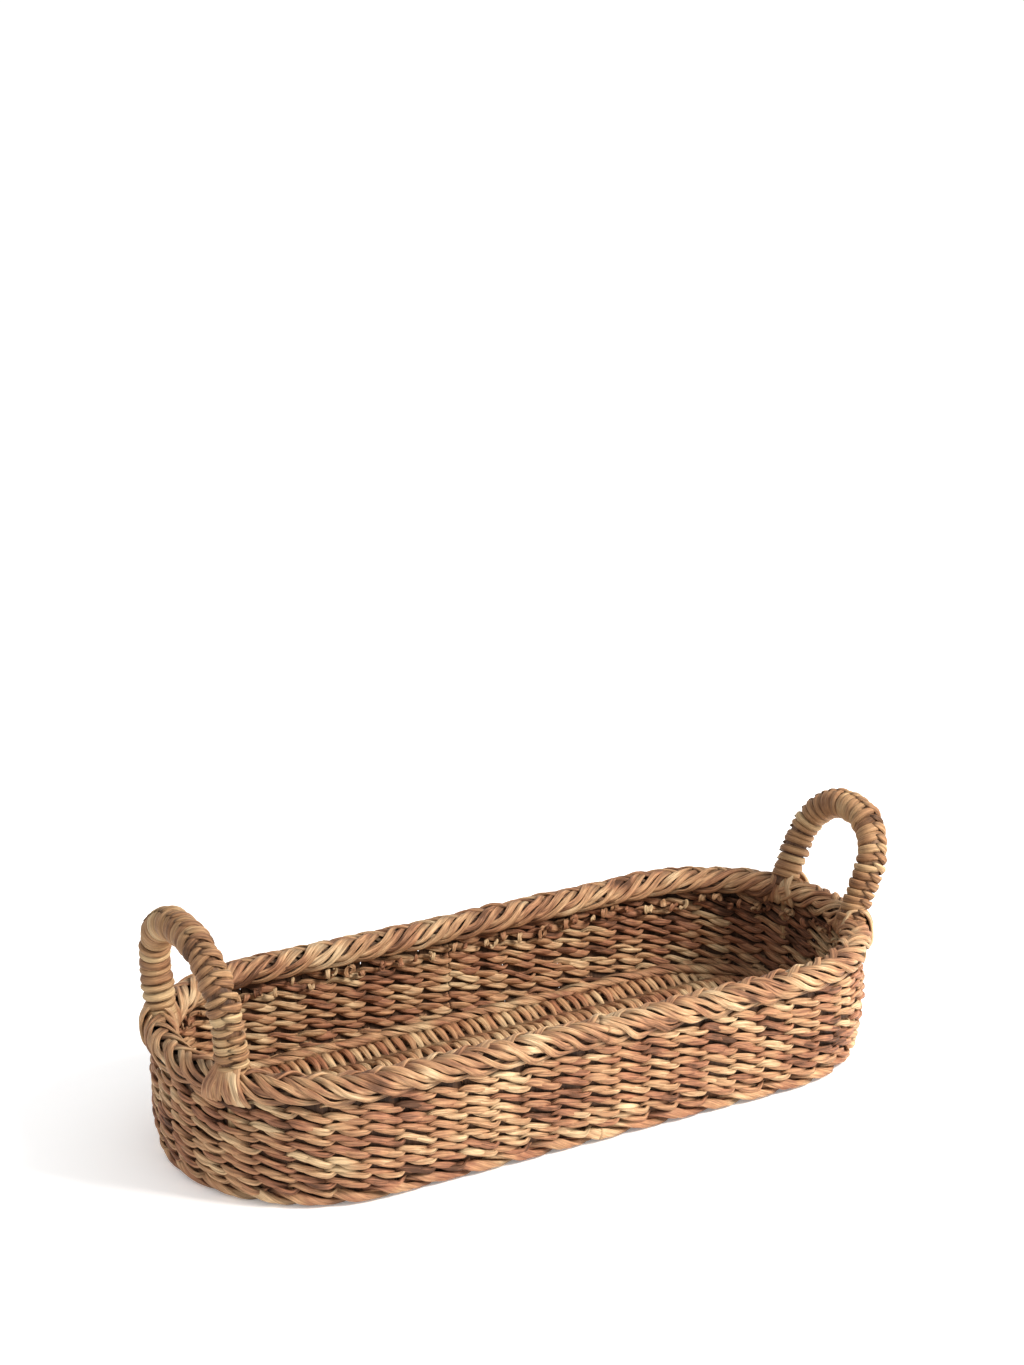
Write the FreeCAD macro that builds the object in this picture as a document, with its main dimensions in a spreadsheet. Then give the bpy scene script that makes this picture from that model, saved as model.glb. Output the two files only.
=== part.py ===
"""Hand-woven seagrass bread basket with two wrapped loop handles.

Millimetres, +Z up. The plan of the basket is a stadium: two straight sides joined by half circles. Its
long axis is X. The origin is the middle of the flat face that the foot coil rests on.

The basket is one soft structure with nothing that moves: lengthwise bundles and crosswise strands make the
floor, upright stakes hold the wall courses apart, a flat plait closes the rim, and each handle is a
wrapped core whose two legs are pushed down beside the stakes and lashed over the plait.
"""

import FreeCAD, Part
import Sketcher
import math
import os

os.makedirs("parts", exist_ok=True)
doc = FreeCAD.newDocument("bread_basket")

# ---------------------------------------------------------------- driving dimensions

DIMENSIONS = {
    "straight_half": 135.0,      # half the length of a straight side, so the ends are centred at +-135
    "wall_radius": 89.5,         # middle of the wall at the rounded ends
    "wall_thick": 11.4,
    "clearance": 0.3,            # gap between neighbouring soft solids
    "foot_height": 9.6,
    "foot_round": 7.0,           # rounding of the foot coil's lower outer edge
    "course_pitch": 6.45,        # one course is two rounds of the weaver, out-in and in-out
    "stake_count": 55.0,         # odd, so that a spiralling weaver swaps sides on each round
    "stake_width": 3.6,
    "stake_foot": 2.6,           # height of the stakes' lower ends, inside the foot coil
    "plait_strand": 8.6,         # thickness of each of the three rounds that make up the rim plait
    "plait_outer_radius": 92.6,
    "plait_inner_radius": 83.8,
    "plait_top_radius": 88.2,
    "plait_low": 68.0,           # height of the middle of the outer and inner strands
    "plait_high": 75.7,
    "floor_radius": 73.4,        # edge of the woven floor at the rounded ends
    "floor_middle": 5.9,         # height of the middle of the floor
    "bundle_wide": 18.4,
    "bundle_thick": 4.8,
    "strand_thick": 1.8,
    "strand_wide": 4.8,
    "strand_pitch": 5.4,
    "strand_rise": 4.0,          # how far a cross strand climbs over a bundle
    "corner_low_radius": 78.4,
    "corner_low_middle": 5.6,
    "corner_low_thick": 8.4,
    "corner_high_radius": 79.5,
    "corner_high_middle": 14.3,
    "corner_high_thick": 7.4,
    "tip_length": 6.0,
    "tip_width": 3.4,
    "tip_height": 59.4,
    "handle_thick": 18.0,
    "core_thick": 12.0,
    "leg_width": 6.0,
    "leg_bottom": 38.0,
    "handle_base": 82.6,
    "left_span": 96.0,           # between the middles of the two legs
    "left_rise": 62.4,           # from handle_base to the middle of the top, along the leaning handle
    "left_bend": 44.0,
    "left_lean": 5.5,            # degrees outward
    "right_span": 72.0,
    "right_rise": 55.4,
    "right_bend": 33.0,
    "right_lean": 23.0,
    "lashing_wide": 22.0,
    "lashing_thick": 1.7,
    "lashing_bottom": 61.8,
    "lashing_inside": 78.2,      # inner face of the opening that the plait passes through
    "lashing_outside": 98.2,
    "lashing_top": 80.5,
}

COURSES = 8
BUNDLES = 6
SIDES = {"front": -1.0, "back": 1.0}
ENDS = {"left": -1.0, "right": 1.0}


def make_sheet():
    """The spreadsheet that every sub-part reads: one plain number and one alias on each row."""
    table = doc.addObject("Spreadsheet::Sheet", "dims")
    for row, (alias, value) in enumerate(DIMENSIONS.items(), start=1):
        table.set("A%d" % row, alias)
        table.set("B%d" % row, str(value))
        table.setAlias("B%d" % row, alias)
    doc.recompute()
    return table


sheet = make_sheet()
pieces = []


def size(alias):
    """A driving dimension as the sheet holds it now."""
    return float(sheet.get(alias))


def keep(piece, label):
    """Label a finished sub-part and put it on the list of files to write."""
    piece.Label = label
    pieces.append(piece)
    return piece


# ---------------------------------------------------------------- places along the stadium

def stadium_length(radius):
    return 4.0 * size("straight_half") + 2.0 * math.pi * radius


def stadium_point(distance, radius):
    """Point and outward direction after going this far counter-clockwise from the middle of the front."""
    half = size("straight_half")
    bend = math.pi * radius
    d = distance % stadium_length(radius)
    if d < half:
        return d, -radius, 0.0, -1.0
    if d < half + bend:
        turn = (d - half) / radius - math.pi / 2
        return half + radius * math.cos(turn), radius * math.sin(turn), math.cos(turn), math.sin(turn)
    if d < 3 * half + bend:
        return 2 * half + bend - d, radius, 0.0, 1.0
    if d < 3 * half + 2 * bend:
        turn = (d - 3 * half - bend) / radius + math.pi / 2
        return -half + radius * math.cos(turn), radius * math.sin(turn), math.cos(turn), math.sin(turn)
    return d - stadium_length(radius), -radius, 0.0, -1.0


def leg_angle(end):
    """Angle of a handle leg round the end's centre, from the long axis."""
    return math.asin(size(end + "_span") / 2 / size("wall_radius"))


def leg_distances(end):
    """How far round the wall the two legs of one handle stand."""
    radius = size("wall_radius")
    tip = size("straight_half") + math.pi / 2 * radius
    if end == "left":
        tip += 2 * size("straight_half") + math.pi * radius
    return [tip + side * leg_angle(end) * radius for side in SIDES.values()]


def all_leg_distances():
    return [distance for end in ENDS for distance in leg_distances(end)]


def stake_distances():
    """Evenly spaced stakes, each moved just clear of a handle leg that stands beside it."""
    count = int(size("stake_count"))
    step = stadium_length(size("wall_radius")) / count
    reach = size("leg_width") / 2 + size("stake_width") / 2 + 5 * size("clearance")
    distances = []
    for number in range(count):
        at = (number + 0.5) * step
        for leg in all_leg_distances():
            if abs(at - leg) < reach:
                at = leg + math.copysign(reach, at - leg)
        distances.append(at)
    return distances


# ---------------------------------------------------------------- shapes shared by several sub-parts

def plane_of(body, role):
    """A body's own origin plane."""
    return [feature for feature in body.Origin.OriginFeatures if feature.Role == role][0]


def draw_stadium(sketch, prefix, radius_alias, thick_alias=None, side=1):
    """A stadium in a sketch, at a radius cell plus or minus half a thickness cell, bound to the sheet."""
    half = size("straight_half")
    r = size(radius_alias)
    formula = "dims." + radius_alias
    if thick_alias:
        r += side * size(thick_alias) / 2
        formula += " %s dims.%s / 2" % ("+" if side > 0 else "-", thick_alias)
    up = FreeCAD.Vector(0, 0, 1)
    right = Part.Circle(FreeCAD.Vector(half, 0, 0), up, r)
    left = Part.Circle(FreeCAD.Vector(-half, 0, 0), up, r)
    a = sketch.GeometryCount
    sketch.addGeometry(Part.ArcOfCircle(right, -math.pi / 2, math.pi / 2), False)
    sketch.addGeometry(Part.LineSegment(FreeCAD.Vector(half, r, 0), FreeCAD.Vector(-half, r, 0)), False)
    sketch.addGeometry(Part.ArcOfCircle(left, math.pi / 2, 3 * math.pi / 2), False)
    sketch.addGeometry(Part.LineSegment(FreeCAD.Vector(-half, -r, 0), FreeCAD.Vector(half, -r, 0)), False)
    for first, second in ((a, a + 1), (a + 1, a + 2), (a + 2, a + 3), (a + 3, a)):
        sketch.addConstraint(Sketcher.Constraint("Tangent", first, 2, second, 1))
    sketch.addConstraint(Sketcher.Constraint("PointOnObject", a, 3, -1))
    sketch.addConstraint(Sketcher.Constraint("PointOnObject", a + 2, 3, -1))
    sketch.addConstraint(Sketcher.Constraint("Equal", a, a + 2))
    bind(sketch, prefix + "_right", Sketcher.Constraint("DistanceX", -1, 1, a, 3, half), "dims.straight_half")
    bind(sketch, prefix + "_left", Sketcher.Constraint("DistanceX", a + 2, 3, -1, 1, half), "dims.straight_half")
    bind(sketch, prefix + "_radius", Sketcher.Constraint("Radius", a, r), formula)


def bind(sketch, name, constraint, formula):
    """Add a named dimension to a sketch and tie it to the sheet."""
    index = sketch.addConstraint(constraint)
    sketch.renameConstraint(index, name)
    sketch.setExpression("Constraints." + name, formula)


def flat_ring(name, radius_alias, bottom, height):
    """A padded stadium ring as thick as the wall; bottom and height are formulas on the sheet."""
    body = doc.addObject("PartDesign::Body", name + "_body")
    sketch = body.newObject("Sketcher::SketchObject", name + "_plan")
    sketch.AttachmentSupport = [(plane_of(body, "XY_Plane"), "")]
    sketch.MapMode = "FlatFace"
    draw_stadium(sketch, "outer", radius_alias, "wall_thick", 1)
    draw_stadium(sketch, "inner", radius_alias, "wall_thick", -1)
    pad = body.newObject("PartDesign::Pad", name + "_pad")
    pad.Profile = sketch
    pad.setExpression("Length", height)
    body.Tip = pad
    body.setExpression("Placement.Base.z", bottom)
    return body


def round_ring(name, radius_alias, thick_alias, middle_alias):
    """A round strand swept once round a stadium."""
    path = doc.addObject("Sketcher::SketchObject", name + "_path")
    draw_stadium(path, "path", radius_alias)
    section = doc.addObject("Part::Circle", name + "_section")
    section.setExpression("Radius", "dims.%s / 2" % thick_alias)
    section.Placement.Rotation = FreeCAD.Rotation(FreeCAD.Vector(0, 1, 0), 90)
    section.setExpression("Placement.Base.x", "-dims.straight_half")
    section.setExpression("Placement.Base.y", "-dims." + radius_alias)
    ring = doc.addObject("Part::Sweep", name + "_sweep")
    ring.Sections = [section]
    ring.Spine = (path, ["Edge4", "Edge1", "Edge2", "Edge3"])
    ring.Solid = True
    ring.Frenet = False
    ring.setExpression("Placement.Base.z", "dims." + middle_alias)
    return ring


def cut(name, base, tool):
    result = doc.addObject("Part::Cut", name + "_cut")
    result.Base = base
    result.Tool = tool
    return result


def upright_rods(name, distances, width, bottom, top):
    """Upright round rods in the middle of the wall, one at each of the given distances round it."""
    rods = []
    for distance in distances:
        x, y, _, _ = stadium_point(distance, size("wall_radius"))
        rods.append(Part.makeCylinder(width / 2, top - bottom, FreeCAD.Vector(x, y, bottom)))
    group = doc.addObject("Part::Feature", name)
    group.Shape = Part.makeCompound(rods)
    return group


# ---------------------------------------------------------------- wall

def wall_top():
    return size("foot_height") + COURSES * size("course_pitch")


def make_holes():
    """Room in every course for the stakes and the handle legs."""
    gap = 2 * size("clearance")
    top = size("plait_high") + size("plait_strand")
    stakes = upright_rods("stake_room", stake_distances(), size("stake_width") + gap,
                          size("stake_foot") - gap, wall_top())
    legs = upright_rods("leg_room", all_leg_distances(), size("leg_width") + gap,
                        size("leg_bottom") - gap, top)
    both = doc.addObject("Part::Compound", "wall_room")
    both.Links = [stakes, legs]
    return both, legs


def make_foot_coil(holes):
    """The thick first round, flat underneath, which the basket stands on."""
    body = flat_ring("foot", "wall_radius", "0 mm", "dims.foot_height")
    doc.recompute()
    pad = body.Tip
    outside = size("wall_radius") + size("wall_thick") / 2
    lower_outer = ["Edge%d" % number for number, edge in enumerate(pad.Shape.Edges, start=1)
                   if edge.BoundBox.ZMax < 0.01 and
                   max(abs(edge.BoundBox.YMin), abs(edge.BoundBox.YMax)) > outside - size("clearance")]
    rounding = body.newObject("PartDesign::Fillet", "foot_rounding")
    rounding.Base = (pad, lower_outer)
    rounding.setExpression("Radius", "dims.foot_round")
    body.Tip = rounding
    keep(cut("foot", body, holes), "foot_coil")


def make_courses(holes):
    """The woven courses above the foot coil, each two rounds of the weaver tall."""
    for number in range(COURSES):
        name = "course_%d" % (number + 1)
        bottom = "(dims.foot_height + dims.clearance / 2 + %d * dims.course_pitch) * 1 mm" % number
        ring = flat_ring(name, "wall_radius", bottom, "dims.course_pitch - dims.clearance / 2")
        keep(cut(name, ring, holes), "wall_" + name)


def make_stakes():
    """Upright stakes in four groups, by which part of the wall they hold."""
    radius = size("wall_radius")
    half = size("straight_half")
    groups = {"front": [], "right_end": [], "back": [], "left_end": []}
    for distance in stake_distances():
        x, y, _, _ = stadium_point(distance, radius)
        if abs(x) < half:
            groups["front" if y < 0 else "back"].append(distance)
        else:
            groups["right_end" if x > 0 else "left_end"].append(distance)
    for place, distances in groups.items():
        rods = upright_rods("stake_rods_" + place, distances, size("stake_width"),
                            size("stake_foot"), wall_top() - size("clearance"))
        keep(rods, "stakes_" + place)


def make_stake_tips():
    """The cut ends of the stakes, poking inward from the wall just under the rim."""
    tips = []
    back = size("wall_thick") / 2 + size("clearance")
    for distance in stake_distances():
        x, y, out_x, out_y = stadium_point(distance, size("wall_radius"))
        start = FreeCAD.Vector(x - back * out_x, y - back * out_y, size("tip_height"))
        inward = FreeCAD.Vector(-out_x, -out_y, 0)
        tips.append(Part.makeCylinder(size("tip_width") / 2, size("tip_length"), start, inward))
    group = doc.addObject("Part::Feature", "stake_tip_rods")
    group.Shape = Part.makeCompound(tips)
    keep(group, "stake_tips")


def make_plait(legs):
    """The rim plait, as three thick rounds where its strands lie: outside, inside and on top."""
    for place, middle in (("outer", "plait_low"), ("inner", "plait_low"), ("top", "plait_high")):
        strand = round_ring("plait_" + place, "plait_%s_radius" % place, "plait_strand", middle)
        keep(cut("plait_" + place, strand, legs), "rim_plait_" + place)


# ---------------------------------------------------------------- floor

def make_floor_plan():
    """An upright prism of the woven floor's outline, for trimming what lies inside it."""
    body = doc.addObject("PartDesign::Body", "floor_plan_body")
    sketch = body.newObject("Sketcher::SketchObject", "floor_plan")
    sketch.AttachmentSupport = [(plane_of(body, "XY_Plane"), "")]
    sketch.MapMode = "FlatFace"
    draw_stadium(sketch, "edge", "floor_radius")
    pad = body.newObject("PartDesign::Pad", "floor_plan_pad")
    pad.Profile = sketch
    pad.setExpression("Length", "2 * dims.floor_middle")
    body.Tip = pad
    return body


def trimmed(name, shape_object, plan):
    result = doc.addObject("Part::Common", name + "_trim")
    result.Base = shape_object
    result.Tool = plan
    return result


def make_bundles(plan):
    """Six flat bundles running lengthwise under and over the cross strands."""
    for number in range(BUNDLES):
        name = "bundle_%d" % (number + 1)
        section = doc.addObject("Part::Ellipse", name + "_section")
        section.setExpression("MajorRadius", "dims.bundle_wide / 2")
        section.setExpression("MinorRadius", "dims.bundle_thick / 2")
        section.Placement.Rotation = FreeCAD.Rotation(FreeCAD.Vector(1, 1, 1), 120)
        offset = number - (BUNDLES - 1) / 2
        section.setExpression("Placement.Base.x", "-dims.straight_half - dims.floor_radius")
        section.setExpression("Placement.Base.y", "%.1f * 2 * dims.floor_radius / %d" % (offset, BUNDLES))
        section.setExpression("Placement.Base.z", "dims.floor_middle")
        bar = doc.addObject("Part::Extrusion", name + "_bar")
        bar.Base = section
        bar.DirMode = "Custom"
        bar.Dir = FreeCAD.Vector(1, 0, 0)
        bar.Solid = True
        bar.setExpression("LengthFwd", "2 * (dims.straight_half + dims.floor_radius)")
        keep(trimmed(name, bar, plan), "floor_" + name)


def wave_face(x, first_side):
    """Section of one cross strand: arcs that climb over and dip under the bundles in turn."""
    half_step = size("floor_radius") / BUNDLES
    rise = size("strand_rise")
    radius = (half_step ** 2 + rise ** 2) / (2 * rise)
    reach = math.atan2(half_step, radius - rise)
    half_thick = size("strand_thick") / 2
    middle = size("floor_middle")

    def line(edge):
        """The arcs along the strand's upper (edge 1) or lower (edge -1) face."""
        arcs = []
        for number in range(BUNDLES):
            side = first_side * (-1) ** number
            centre = (2 * number + 1 - BUNDLES) * half_step
            r = radius + side * edge * half_thick
            points = [FreeCAD.Vector(x, centre + r * math.sin(turn),
                                     middle + side * (r * math.cos(turn) - radius + rise))
                      for turn in (-reach, 0.0, reach)]
            arcs.append(Part.Arc(*points).toShape())
        return arcs

    upper = line(1)
    lower = line(-1)
    ends = [Part.makeLine(upper[0].Vertexes[0].Point, lower[0].Vertexes[0].Point),
            Part.makeLine(upper[-1].Vertexes[-1].Point, lower[-1].Vertexes[-1].Point)]
    return Part.Face(Part.Wire(Part.__sortEdges__(upper + lower + ends)))


def make_cross_strands(plan):
    """Strands laid across the floor, over one bundle and under the next, each neighbour the other way."""
    pitch = size("strand_pitch")
    count = int((size("straight_half") + size("floor_radius") - pitch) / pitch)
    strands = []
    for number in range(-count, count + 1):
        x = number * pitch - size("strand_wide") / 2
        side = 1 if number % 2 else -1
        strands.append(wave_face(x, side).extrude(FreeCAD.Vector(size("strand_wide"), 0, 0)))
    group = doc.addObject("Part::Feature", "cross_strand_strips")
    group.Shape = Part.makeCompound(strands)
    keep(trimmed("cross_strands", group, plan), "floor_cross_strands")


def make_corner_courses():
    """Two twined rounds that turn the floor up into the wall."""
    for level in ("low", "high"):
        prefix = "corner_" + level
        ring = round_ring(prefix, prefix + "_radius", prefix + "_thick", prefix + "_middle")
        keep(ring, "corner_course_" + level)


# ---------------------------------------------------------------- handles

def arch_path(end):
    """The middle line of a handle in its own plane: up a leg, round two bends and down the other leg."""
    half_span = size(end + "_span") / 2
    rise = size(end + "_rise")
    bend = size(end + "_bend")
    corner = bend * (1 - math.sqrt(0.5))
    points = [(-half_span, 0), (-half_span, rise - bend), (-half_span + corner, rise - corner),
              (-half_span + bend, rise), (half_span - bend, rise), (half_span - corner, rise - corner),
              (half_span, rise - bend), (half_span, 0)]
    at = [FreeCAD.Vector(0, y, z) for y, z in points]
    return Part.Wire([Part.makeLine(at[0], at[1]), Part.Arc(at[1], at[2], at[3]).toShape(),
                      Part.makeLine(at[3], at[4]), Part.Arc(at[4], at[5], at[6]).toShape(),
                      Part.makeLine(at[6], at[7])])


def arch_tube(name, end, width):
    """A round bar along a handle's arch, leaning out from its two feet."""
    path = doc.addObject("Part::Feature", name + "_path")
    path.Shape = arch_path(end)
    section = doc.addObject("Part::Circle", name + "_section")
    section.Radius = width / 2
    section.setExpression("Placement.Base.y", "-dims.%s_span / 2" % end)
    tube = doc.addObject("Part::Sweep", name + "_tube")
    tube.Sections = [section]
    tube.Spine = (path, ["Edge%d" % number for number in range(1, 6)])
    tube.Solid = True
    side = ENDS[end]
    foot_x = size("straight_half") + size("wall_radius") * math.cos(leg_angle(end))
    lean = FreeCAD.Rotation(FreeCAD.Vector(0, 1, 0), side * size(end + "_lean"))
    tube.Placement = FreeCAD.Placement(FreeCAD.Vector(side * foot_x, 0, size("handle_base")), lean)
    return tube


def make_handle(end):
    """A core with two legs pushed into the wall, inside a hollow winding."""
    name = "handle_" + end
    legs = upright_rods(name + "_legs", leg_distances(end), size("leg_width"),
                        size("leg_bottom"), size("handle_base"))
    arch = arch_tube(name + "_core", end, size("core_thick"))
    core = doc.addObject("Part::MultiFuse", name + "_core_fuse")
    core.Shapes = [arch, legs]
    keep(core, name + "_core")
    outside = arch_tube(name + "_outside", end, size("handle_thick"))
    inside = arch_tube(name + "_inside", end, size("core_thick") + 2 * size("clearance"))
    keep(cut(name + "_winding", outside, inside), name + "_winding")


def lashing_box(name, inner, outer, bottom, top, wide):
    """A box round the wall's middle line, in the radial direction of a handle leg, before it is placed."""
    box = doc.addObject("Part::Box", name)
    box.setExpression("Length", "%s - (%s)" % (outer, inner))
    box.setExpression("Width", wide)
    box.setExpression("Height", "%s - (%s)" % (top, bottom))
    box.setExpression("Placement.Base.x", inner)
    box.setExpression("Placement.Base.y", "-(%s) / 2" % wide)
    box.setExpression("Placement.Base.z", bottom)
    return box


def make_lashing(end, side, leg_holes):
    """A flat binding that goes right round the plait at a handle's foot."""
    name = "lashing_%s_%s" % (end, side)
    thick = "dims.lashing_thick"
    outer = lashing_box(name + "_outer", "dims.lashing_inside - " + thick, "dims.lashing_outside + " + thick,
                        "dims.lashing_bottom", "dims.lashing_top + " + thick, "dims.lashing_wide")
    inner = lashing_box(name + "_inner", "dims.lashing_inside", "dims.lashing_outside",
                        "dims.lashing_bottom + " + thick, "dims.lashing_top", "2 * dims.lashing_wide")
    loop = cut(name + "_loop", outer, inner)
    turn = math.degrees(leg_angle(end)) * SIDES[side]
    if end == "left":
        turn = 180.0 - turn
    centre = FreeCAD.Vector(ENDS[end] * size("straight_half"), 0, 0)
    loop.Placement = FreeCAD.Placement(centre, FreeCAD.Rotation(FreeCAD.Vector(0, 0, 1), turn))
    keep(cut(name, loop, leg_holes), name)


# ---------------------------------------------------------------- assembly

holes, leg_holes = make_holes()
floor_plan = make_floor_plan()
make_foot_coil(holes)
make_courses(holes)
make_stakes()
make_stake_tips()
make_plait(leg_holes)
make_bundles(floor_plan)
make_cross_strands(floor_plan)
make_corner_courses()
for end in ENDS:
    make_handle(end)
    for side in SIDES:
        make_lashing(end, side, leg_holes)

doc.recompute()
failed = [item.Label for item in doc.Objects if "Invalid" in item.State or "Error" in item.State]
failed += [piece.Label for piece in pieces if piece.Shape.isNull() or not piece.Shape.isValid()]
if failed:
    raise RuntimeError("failed: " + ", ".join(sorted(set(failed))))
for piece in pieces:
    piece.Shape.exportStep("parts/%s.step" % piece.Label)
    print(piece.Label, len(piece.Shape.Solids), round(piece.Shape.Volume))
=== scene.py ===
"""The looks of a hand-woven seagrass bread basket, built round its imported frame. Metres, +Z up."""
import math

import bpy
import numpy as np
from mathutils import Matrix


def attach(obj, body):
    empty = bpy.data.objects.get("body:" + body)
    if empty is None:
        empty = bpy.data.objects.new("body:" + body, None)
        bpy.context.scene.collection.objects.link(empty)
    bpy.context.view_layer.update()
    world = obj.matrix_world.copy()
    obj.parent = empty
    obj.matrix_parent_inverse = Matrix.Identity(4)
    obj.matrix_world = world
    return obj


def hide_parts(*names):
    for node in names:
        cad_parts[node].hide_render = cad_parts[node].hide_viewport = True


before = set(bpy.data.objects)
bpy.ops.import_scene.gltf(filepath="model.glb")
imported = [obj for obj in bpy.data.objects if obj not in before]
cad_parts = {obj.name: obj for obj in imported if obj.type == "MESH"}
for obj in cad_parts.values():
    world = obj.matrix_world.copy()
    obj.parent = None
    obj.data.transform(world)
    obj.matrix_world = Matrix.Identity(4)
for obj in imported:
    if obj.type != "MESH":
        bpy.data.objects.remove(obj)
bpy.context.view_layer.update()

# ---------------------------------------------------------------- camera, light and table
# The basket is seen from above its left front corner with a long lens. A soft light stands to the right and
# front, so the left end and the inside of the right end fall into shade, on a white table.

EYE = (-0.8386, -1.4239, 0.7760)
LOOK_DOWN = math.radians(17.56)
LOOK_RIGHT = math.radians(30.32)
LENS_MM = 79.73
SENSOR_MM = 36.0
FARTHEST_SEEN = 50.0
GAMMA = 0.84
KEY_PLACE = (0.80, -1.0, 1.05)
KEY_AIM = (0.05, 0, 0.03)
KEY_SIZE = 0.5
KEY_WATTS = 34
KEY_COLOUR = (1.0, 0.96, 0.92)
SKY_STRENGTH = 0.9
TABLE_SIZE = 36.0
TABLE_WHITE = 0.93
TABLE_GLOW = 0.22


def make_camera():
    """A camera at EYE, turned LOOK_RIGHT from +Y and LOOK_DOWN from level."""
    data = bpy.data.cameras.new("camera")
    data.lens = LENS_MM
    data.sensor_width = SENSOR_MM
    data.clip_end = FARTHEST_SEEN
    camera = bpy.data.objects.new("camera", data)
    camera.location = EYE
    camera.rotation_euler = (math.pi / 2 - LOOK_DOWN, 0.0, -LOOK_RIGHT)
    bpy.context.collection.objects.link(camera)
    bpy.context.scene.camera = camera


def make_key_light():
    """A square lamp at KEY_PLACE that faces KEY_AIM."""
    data = bpy.data.lights.new("key", "AREA")
    data.shape = "SQUARE"
    data.size = KEY_SIZE
    data.energy = KEY_WATTS
    data.color = KEY_COLOUR
    lamp = bpy.data.objects.new("key", data)
    lamp.location = KEY_PLACE
    x, y, z = np.subtract(KEY_AIM, KEY_PLACE)
    lamp.rotation_euler = (math.atan2(math.hypot(x, y), -z), 0.0, math.atan2(y, x) - math.pi / 2)
    bpy.context.collection.objects.link(lamp)


def make_sky():
    """Even white light from all round."""
    world = bpy.data.worlds.new("white_room")
    bpy.context.scene.world = world
    world.use_nodes = True
    background = world.node_tree.nodes["Background"]
    background.inputs["Color"].default_value = (1, 1, 1, 1)
    background.inputs["Strength"].default_value = SKY_STRENGTH


def make_table():
    """A very large white square under the foot coil, which glows a little: painted light that lightens the
    basket's shadow on the table.
    """
    half = TABLE_SIZE / 2
    corners = [(-half, -half, 0), (half, -half, 0), (half, half, 0), (-half, half, 0)]
    mesh = bpy.data.meshes.new("table")
    mesh.from_pydata(corners, [], [(0, 1, 2, 3)])
    table = bpy.data.objects.new("table", mesh)
    bpy.context.collection.objects.link(table)
    material = bpy.data.materials.new("white_table")
    material.use_nodes = True
    shader = material.node_tree.nodes["Principled BSDF"]
    shader.inputs["Base Color"].default_value = (TABLE_WHITE, TABLE_WHITE, TABLE_WHITE, 1)
    shader.inputs["Roughness"].default_value = 0.9
    # Painted light: the table glows a little, which lightens the basket's shadow on it and lights the basket
    # from below.
    shader.inputs["Emission Color"].default_value = (1, 1, 1, 1)
    shader.inputs["Emission Strength"].default_value = TABLE_GLOW
    mesh.materials.append(material)


bpy.context.scene.view_settings.view_transform = "Standard"
bpy.context.scene.view_settings.gamma = GAMMA
make_camera()
make_key_light()
make_sky()
make_table()


# ---------------------------------------------------------------- foot coil
# The basket stands on a rope of two thick bundles of dried seagrass leaves, twisted together and bent round
# the edge of the floor. The floor strands are tucked into it, and the wall's weaver starts on top of it.

MM = 0.001
UP = np.array([0.0, 0.0, 1.0])
STRAIGHT = 0.270
END_RADIUS = 0.0895
ONCE_ROUND = 2 * STRAIGHT + 2 * math.pi * END_RADIUS
# How much darker the grooves between leaves are painted: painted shade.
GROOVE_SHADE = 2.4


def around(s):
    """Place and outward direction on the middle line of the wall, two straight sides joined by two half
    circles. s is the distance from the middle of the front, anticlockwise seen from above: place =
    END_RADIUS * outward + the middle of the half circle, or the point that slides between the two middles
    along a straight side."""
    arc = math.pi * END_RADIUS
    u = np.mod(s + STRAIGHT / 2, ONCE_ROUND)
    front = np.clip(u, 0, STRAIGHT)
    right = np.clip(u - STRAIGHT, 0, arc)
    back = np.clip(u - STRAIGHT - arc, 0, STRAIGHT)
    left = np.clip(u - 2 * STRAIGHT - arc, 0, arc)
    turn = (right + left) / END_RADIUS
    outward = np.stack([np.sin(turn), -np.cos(turn), np.zeros_like(turn)], -1)
    place = END_RADIUS * outward
    place[..., 0] += front - back - STRAIGHT / 2
    return place, outward


def off_wall(s, rho, z):
    """The point rho outward from the middle line of the wall at s, at height z."""
    place, outward = around(s)
    return place + rho[..., None] * outward + z[..., None] * UP


def unit(vectors):
    """Each vector divided by its length."""
    return vectors / np.maximum(np.linalg.norm(vectors, axis=-1, keepdims=True), 1e-12)


def strand(path, normal, half_wide, half_flat, points=14, leaves=3, crease=0.12, phase=0.0, boxy=1.0):
    """Skin of a bundle of leaves. Round the section at angle a, skin = path + g(a) * (half_wide * c(a) *
    wide + half_flat * c(a - 90 degrees) * flat), where c is a cosine raised to the power boxy, flat is the
    normal made square to the path, wide is square to both, and g = 1 - crease * |cos(leaves * a / 2 +
    phase)|^4 makes a groove between two leaves. Gives the skin and g."""
    along = unit(np.gradient(path, axis=-2))
    wide = unit(np.cross(np.broadcast_to(normal, path.shape), along))
    flat = np.cross(along, wide)
    a = np.arange(points) * 2 * math.pi / points
    across = np.sign(np.cos(a)) * np.abs(np.cos(a)) ** boxy
    high = np.sign(np.sin(a)) * np.abs(np.sin(a)) ** boxy
    turn = np.broadcast_to(phase, path.shape[:-1])[..., None]
    groove = 1 - crease * np.abs(np.cos(leaves * a / 2 + turn)) ** 4
    w = np.broadcast_to(half_wide, path.shape[:-1])[..., None] * groove * across
    f = np.broadcast_to(half_flat, path.shape[:-1])[..., None] * groove * high
    skin = path[..., None, :] + w[..., None] * wide[..., None, :] + f[..., None] * flat[..., None, :]
    return skin, groove


def tapered(count, share):
    """1 along most of a strand, falling as a quarter circle to a blunt tip over the given share of each
    end."""
    t = np.linspace(0, 1, count)
    edge = np.clip(np.minimum(t, 1 - t) / share, 0, 1)
    return np.sqrt(1 - (1 - edge) ** 2) * 0.9 + 0.1


def on_points(values, shape):
    """A value for each ring, or one for all, repeated at every point. shape is (tubes, rings, points)."""
    return np.broadcast_to(np.broadcast_to(values, shape[:2])[..., None], shape)


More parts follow.
